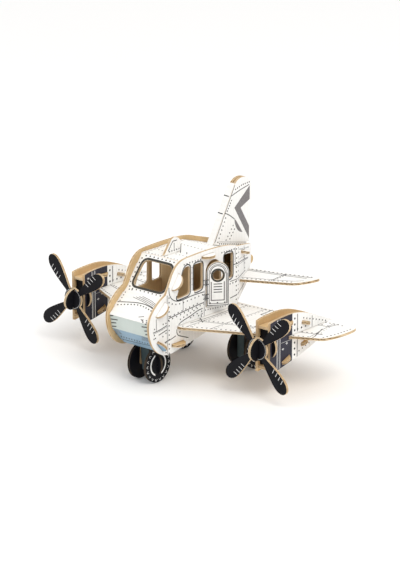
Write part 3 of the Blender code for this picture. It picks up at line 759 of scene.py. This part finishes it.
def print_fin(side, sign):
    """One leaf of the fin: a plain bent band, two curved lines and rivets."""
    press = Press(f"fin_leaf_{side}", DRAWING, ASTERN, UP, SPAN * sign)
    tip, notch = (36.6, 112.2), (43.9, 110.8)
    press.shape([tip, (54.6, 126.2), (54.6, 115.4), notch], "grey")
    press.shape([tip, (54.0, 84.6), (54.0, 94.4), notch], "grey")
    leaf = curve([(36.6, 104.0), (37.6, 99.0), (40.2, 94.4), (43.4, 92.0), (46.2, 91.2)], 3)
    press.shape(leaf + [(43.0, 95.8), (39.6, 100.6)], "grey")
    press.line(curve([(18.0, 112.9), (22.6, 111.1), (28.0, 109.2), (32.4, 106.6), (36.4, 103.6)]))
    press.line(curve([(26.0, 124.2), (29.0, 122.6), (32.4, 122.1), (38.0, 123.5), (44.0, 125.0), (54.0, 126.9)]))
    press.rivets([(38.0, 126.4), (46.0, 128.4), (54.0, 128.9)], 2.5)
    press.rivets([(33.2, 118.6), (28.4, 111.4)], 2.2)
    press.rivets([(26.4, 106.4), (17.4, 89.4)], 3.0)
    press.rivets([(19.4, 87.8), (38.0, 83.4), (51.0, 80.0)], 2.6)
    press.rivets([(35.2, 98.6), (27.0, 89.0)], 3.0)
    press.rivets([(36.8, 95.4), (31.4, 89.0)], 3.0)
    press.line([(19.0, 89.4), (38.0, 85.0), (53.0, 81.6)], "grey", 0.3)
    press.line([(13.8, 89.6), (37.1, 129.8)], "black", 0.5)
    press.done()


def print_fin_strip():
    """The ends of the fin's two curved lines, round its leading edge."""
    press = Press("fin_leading_strip", DRAWING, SPAN, UP, AHEAD)
    for z in (110.2, 122.3):
        press.line([(-2.5, z + 0.3), (2.5, z)])
    press.done()


def print_antenna():
    """The port side of the fin on the roof."""
    press = Press("antenna", DRAWING, ASTERN, UP, SPAN)
    press.line([(-37.0, 94.4), (-32.0, 101.0), (-27.4, 101.0)])
    press.rivets([(-35.6, 93.8), (-25.0, 93.8)], 2.6)
    press.line([(-30.4, 94.6), (-30.4, 99.4)], "grey")
    press.done()


def mirrored_pair(press, draw):
    """Draws the port half, and the starboard half as its mirror image."""
    for sign in SIDES.values():
        draw(press, lambda points, sign=sign: [(x * sign, y) for x, y in points])


def wing_drawing(press, placed):
    """Half of the wing. placed puts its points on the half that is drawn."""

    def chord(x, share):
        """The point at this span and share of the chord, from the leading edge."""
        lead = -62.5 + 0.4987 * x
        trail = 23.8 + (x - 21.0) * 5.7 / 69.0
        return (x, lead + (trail - lead) * share)

    for share in (0.045, 0.30, 0.955):
        press.rivets(placed([chord(24.0, share), chord(112.0, share)]), 3.6, radius=WING_RIVET)
    press.line(placed([chord(24.0, 0.26), chord(114.0, 0.26)]), "grey", WING_LINE)
    press.line(placed([chord(50.0, 0.76), chord(106.0, 0.76)]), "black", WING_LINE)
    press.line(placed([chord(50.0, 0.76), chord(50.0, 0.99)]), "black", WING_LINE)
    press.line(placed([chord(106.0, 0.76), chord(108.0, 0.99)]), "black", WING_LINE)
    press.rivets(placed([chord(52.0, 0.81), chord(104.0, 0.81)]), 4.6, "grey", WING_RIVET)
    for x, lean in ((27.0, 1.0), (43.4, 1.0), (64.0, 4.0), (110.0, -6.0)):
        press.line(placed([chord(x, 0.02), chord(x + lean, 0.97)]), "grey", 0.5)
        press.rivets(placed([chord(x + 1.8, 0.06), chord(x + 1.8 + lean, 0.94)]), 4.2, "grey", 0.5)
    press.line(placed([(112.0, -3.4), (105.4, 14.4)]), "black", WING_LINE)
    press.rivets(placed([(118.0, -0.4), (121.0, 12.0), (121.4, 27.0)]), 3.4, radius=WING_RIVET)
    press.line(placed([(19.0, -23.0), (29.0, -30.6)]), "black", WING_LINE)
    press.line(placed(curve([(22.8, 16.0), (25.0, 5.0), (25.2, -15.0), (23.4, -38.0)])), "black")


def tailplane_drawing(press, placed):
    """Half of the tailplane."""
    press.line(placed([(7.0, 49.0), (34.0, 55.4), (57.0, 63.0)]), "black", WING_LINE)
    press.line(placed([(7.0, 46.4), (34.0, 52.6), (55.0, 59.2)]), "black", WING_LINE)
    press.line(placed([(36.0, 58.6), (38.0, 37.6)]), "black", WING_LINE)
    press.line(placed(curve([(10.0, 27.2), (30.0, 36.4), (50.0, 46.4), (57.0, 53.4)])), "grey", WING_LINE)
    press.rivets(placed([(9.0, 50.9), (34.0, 57.0), (56.0, 64.4)]), 3.4, radius=WING_RIVET)
    press.rivets(placed([(12.0, 25.6), (32.0, 35.0), (52.0, 44.6)]), 3.4, radius=WING_RIVET)
    press.rivets(placed([(37.8, 55.0), (39.6, 40.6)]), 3.4, "grey", WING_RIVET)


def facet_press(node, low, high):
    """A press for one facet of a wrap. Its drawing is X and the way up from low to high, both (y, z)."""
    up = Vector((0, high[0] - low[0], high[1] - low[1])).normalized()
    facing = SPAN.cross(up)
    return Press(node, DRAWING + Vector((0, *low)), SPAN, up, facing)


# The folds of the two wraps, (y, z), as they are in the CAD.
NOSE_FACETS = [(-64.0, 26.5), (-77.0, 41.0), (-79.5, 52.4), (-60.0, 69.0), (-43.4, 91.5)]
ROOF_FACETS = [(-43.4, 91.5), (1.9, 91.2), (50.0, 77.0)]


def print_nose():
    """The chin, the face, the hood and the windscreen's frame."""
    chin, face, hood, screen = [facet_press("nose_wrap", a, b) for a, b in zip(NOSE_FACETS, NOSE_FACETS[1:])]
    chin.line(curve([(-18.0, 4.2), (0.0, 5.6), (18.0, 7.4)]))
    for k in range(14):
        x = -17.0 + 2.6 * k
        chin.line([(x, 7.6), (x + 1.0, 9.6)], "black", 0.7)
    for k in range(6):
        chin.line([(6.0 + 0.8 * k, 12.4 + 1.3 * k), (16.0, 13.4 + 1.1 * k)], "grey", 0.4)
        chin.line([(-18.4, 12.6 + 1.2 * k), (-13.0, 13.4 + 1.1 * k)], "grey", 0.4)
    for v, length in ((11.0, 3.4), (8.2, 7.0), (5.2, 5.0), (2.2, 4.6)):
        face.line([(-18.8, v - 0.8), (-18.8 + length, v)], "black", 0.8)
        face.line([(18.8, v + 0.8), (18.8 - length, v - 0.2)], "black", 0.8)
    hood.line(curve([(-18.8, 11.2), (-9.0, 13.3), (0.0, 14.7), (8.0, 14.6), (17.6, 12.4)]))
    hood.rivets(curve([(-17.0, 8.9), (-8.0, 11.4), (1.0, 13.0), (9.0, 12.2), (17.0, 10.4)]), 3.0, radius=0.62)
    for k in range(4):
        ends = [(-8.4 + 2.6 * k, 18.2 + 0.8 * k), (4.0 + 1.6 * k, 16.3 + 0.9 * k), (16.4, 13.4 + 1.0 * k)]
        hood.line(curve(ends), "black", 0.36)
    hood.rivets([(-17.4, 20.4), (-17.4, 12.8)], 2.3, radius=0.5)
    hood.line([(7.0, 3.6), (11.4, 5.2)], "grey")
    hood.line([(10.0, 2.6), (13.2, 0.8)], "grey")
    hood.dots([(12.2, 2.2), (15.6, 2.4), (13.4, 0.6), (16.6, 0.8), (-15.6, 23.6), (-13.0, 23.7), (16.8, 23.4)])
    # The rubber round the windscreen, and the rivets that hold it.
    pane = rounded([(-16.3, 1.0), (16.3, 1.0), (15.1, 24.1), (-15.1, 24.1)], 5.8)
    screen.line(pane, "frame", 1.75, closed=True)
    around = rounded([(-18.0, -0.9), (18.0, -0.9), (17.0, 26.2), (-17.0, 26.2)], 5.0)
    screen.rivets(around, 3.9, radius=0.62, closed=True)
    one_print([chin, face, hood, screen])


def print_roof():
    """The flat roof and the slope behind it."""
    front, rear = [facet_press("roof_wrap", a, b) for a, b in zip(ROOF_FACETS, ROOF_FACETS[1:])]
    front.rivets([(-17.0, 1.8), (17.0, 1.8)], 3.2)
    front.rivets([(-17.0, 12.4), (17.0, 12.4)], 3.4, "grey")
    front.rivets([(-17.6, 37.0), (-9.0, 34.6), (16.0, 34.6)], 3.4)
    front.line(curve([(-19.0, 37.0), (-12.0, 34.6), (-9.0, 32.0), (3.6, 17.0)]))
    front.line([(6.4, 21.0), (9.6, 17.4)], "black", 0.6)
    for x in (-16.6, 16.6):
        front.line([(x, 3.4), (x, 46.0)], "grey", 0.36)
        front.rivets([(x * 1.08, 5.0), (x * 1.08, 46.0)], 3.8, "grey", 0.36)
    for side in (-1, 1):
        rear.line([(16.4 * side, 1.0), (13.6 * side, 18.0), (6.4 * side, 46.0)], "grey")
        rear.rivets([(14.6 * side, 3.0), (12.0 * side, 18.0), (5.0 * side, 43.0)], 3.6)
    rear.rivets([(-15.0, 1.6), (15.0, 1.6)], 3.2)
    one_print([front, rear])


def print_nacelle(side, sign):
    """Both panels of an engine: white bands and marks on the dark cowling, rivets behind it."""
    for place, out in (("inner", -sign), ("outer", sign)):
        press = Press(f"nacelle_panel_{place}_{side}", DRAWING, ASTERN, UP, SPAN * out)
        for y in (-28.4, -25.2):
            press.line([(y, 61.0), (y, 19.0)], "white", 0.5)
        press.line([(-27.2, 61.0), (-27.2, 19.0)], "pale", 0.3)
        press.line([(-24.0, 41.0), (-12.0, 41.0)], "pale", 0.3)
        for y, z in ((-17.4, 51.6), (-21.4, 55.6), (-17.4, 39.4), (-21.8, 36.0), (-32.6, 55.0)):
            press.line([(y - 1.2, z), (y + 1.2, z)], "white", 0.45)
            press.line([(y, z - 0.9), (y, z + 0.9)], "white", 0.45)
        press.line([(-5.2, 60.4), (-5.2, 24.6)], "grey", 0.9)
        press.rivets([(-8.3, 56.0), (-8.3, 47.0)], 4.6, radius=0.85)
        press.rivets([(-8.3, 37.6), (-8.3, 28.4)], 4.6, radius=0.85)
        press.rivets([(-5.0, 47.2), (9.0, 47.2)], 4.6, radius=0.75)
        press.rivets([(2.0, 54.0), (28.0, 45.6)], 4.0)
        press.rivets([(-3.0, 30.0), (24.0, 37.6)], 4.0)
        press.line([(12.0, 53.4), (12.0, 44.6)], "grey")
        press.done()


def print_propeller(side):
    """Four slanted ticks on each blade, and a ring round the spinner plate."""
    hub = joint_place(f"propeller_{side}_spin")
    corner = Vector((hub.x, 0, hub.z))
    press = Press(f"propeller_blades_{side}", corner, SPAN, UP, AHEAD, "black_printed_card")
    half_widths = {20.0: 4.2, 23.4: 4.8, 26.8: 5.2, 30.2: 5.3}  # of the blade, by distance from the hub
    for k in range(4):
        lead = math.radians(PROPELLER_TURN[side] + 90 * k)
        out = Vector((math.cos(lead), math.sin(lead)))
        across = Vector((-out.y, out.x))
        for reach, half in half_widths.items():
            outer = out * (reach - 0.5) + across * (half - 0.5)
            inner = out * (reach + 0.7) + across * (half - 3.9)
            press.line([tuple(outer), tuple(inner)], "white", 0.32)
    press.line(ring((0, 0), 7.7, 48), "pale", 0.3, closed=True)
    press.done()


def print_wheel(gear, side, sign):
    """Two crescents round the hub, and the tyre's tread."""
    axle = joint_place(f"{gear}_roll")
    corner = Vector((0, axle.y, axle.z))
    press = Press(f"{gear}_wheel_{side}", corner, ASTERN, UP, SPAN * sign, "black_printed_card")
    for start in (112, -68):
        outer = arc((0, 0), 8.7, start, start + 136, 16)
        inner = arc((0, 0), 7.5, start + 6, start + 130, 16)
        for corners in zip(outer, outer[1:], inner[1:], inner):
            press.shape(corners, "white")
    for k in range(36):
        near = math.radians(10 * k + 3)
        far = math.radians(10 * k + (8 if k % 2 else -2))
        tread = [(11.2 * math.cos(near), 11.2 * math.sin(near)), (12.9 * math.cos(far), 12.9 * math.sin(far))]
        press.line(tread, "white" if k % 3 else "pale", 0.34)
    press.done()


def prints():
    for side, sign in SIDES.items():
        print_side(side, sign)
        print_fin(side, sign)
        print_nacelle(side, sign)
        print_propeller(side)
    print_door()
    print_fin_strip()
    print_antenna()
    for node, drawing in (("wing", wing_drawing), ("tailplane", tailplane_drawing)):
        press = Press(node, DRAWING, SPAN, ASTERN, UP)
        mirrored_pair(press, drawing)
        press.done()
    print_nose()
    print_roof()
    for gear in GEARS:
        for side, sign in SIDES.items():
            print_wheel(gear, side, sign)


# ---------------------------------------------------------------- camera, light and floor


# The photograph's view: millimetres, degrees, metres.
TARGET = (0, 7.24, 59.4)
AZIMUTH = 40.68
ELEVATION = 17.49
DISTANCE = 1.8945
LENS = 159.5  # for a sensor 36 wide

SKY_EDGE = (0.86, 0.87, 0.88)  # where the dome meets the floor
SKY_LOW = (0.24, 0.28, 0.35)
SKY_HIGH = (1.0, 0.985, 0.96)
SKY_STRENGTH = 1.15
# name, place and size in metres, watts, colour
LAMPS = (
    ("key", (1.1, -0.5, 1.4), 0.8, 12.0, (1.0, 0.97, 0.92)),
    ("front", (-0.3, -1.6, 1.5), 0.8, 1.5, (0.94, 0.97, 1.0)),
)
FLOOR_SIZE = 80  # metres, so that its edge stays out of sight
FLOOR_DROP = 0.0002  # metres below the wheels


def add_camera(target):
    camera = bpy.data.objects.new("camera", bpy.data.cameras.new("camera"))
    bpy.context.scene.collection.objects.link(camera)
    bpy.context.scene.camera = camera
    around, above = math.radians(AZIMUTH), math.radians(ELEVATION)
    back = Vector((math.sin(around) * math.cos(above), -math.cos(around) * math.cos(above), math.sin(above)))
    camera.location = target + back * DISTANCE
    camera.rotation_euler = (-back).to_track_quat("-Z", "Y").to_euler()
    camera.data.lens = LENS
    camera.data.sensor_width = 36
    camera.data.clip_end = 100


def add_sky():
    """A pale dome, dim between its edge and its top, so that level faces are whiter than upright ones."""
    world = bpy.data.worlds.new("studio")
    bpy.context.scene.world = world
    world.use_nodes = True
    tree = world.node_tree
    background = tree.nodes["Background"]
    where = tree.nodes.new("ShaderNodeTexCoord")
    parts = tree.nodes.new("ShaderNodeSeparateXYZ")
    tree.links.new(where.outputs["Generated"], parts.inputs["Vector"])
    sky = ramp_of(tree, parts.outputs["Z"], [(0.09, SKY_EDGE), (0.14, SKY_LOW), (0.7, SKY_HIGH)])
    tree.links.new(sky, background.inputs["Color"])
    background.inputs["Strength"].default_value = SKY_STRENGTH


def add_lamps(target):
    for name, place, size, power, colour in LAMPS:
        light = bpy.data.lights.new(name, "AREA")
        light.size = size
        light.energy = power
        light.color = colour
        lamp = bpy.data.objects.new(name, light)
        lamp.location = place
        lamp.rotation_euler = (Vector(place) - target).to_track_quat("Z", "Y").to_euler()
        bpy.context.scene.collection.objects.link(lamp)


def add_floor():
    bpy.ops.mesh.primitive_plane_add(size=FLOOR_SIZE, location=(0, 0, -FLOOR_DROP))
    floor = bpy.context.object
    floor.name = "floor"
    material, _, shader = new_material("floor", 0.9, 0.1)
    shader.inputs["Base Color"].default_value = (0.95, 0.95, 0.95, 1)
    floor.data.materials.append(material)


def stage():
    target = Vector(TARGET) * MM
    add_camera(target)
    add_sky()
    add_lamps(target)
    add_floor()
    bpy.context.scene.view_settings.view_transform = "Standard"


boards()
prints()
stage()
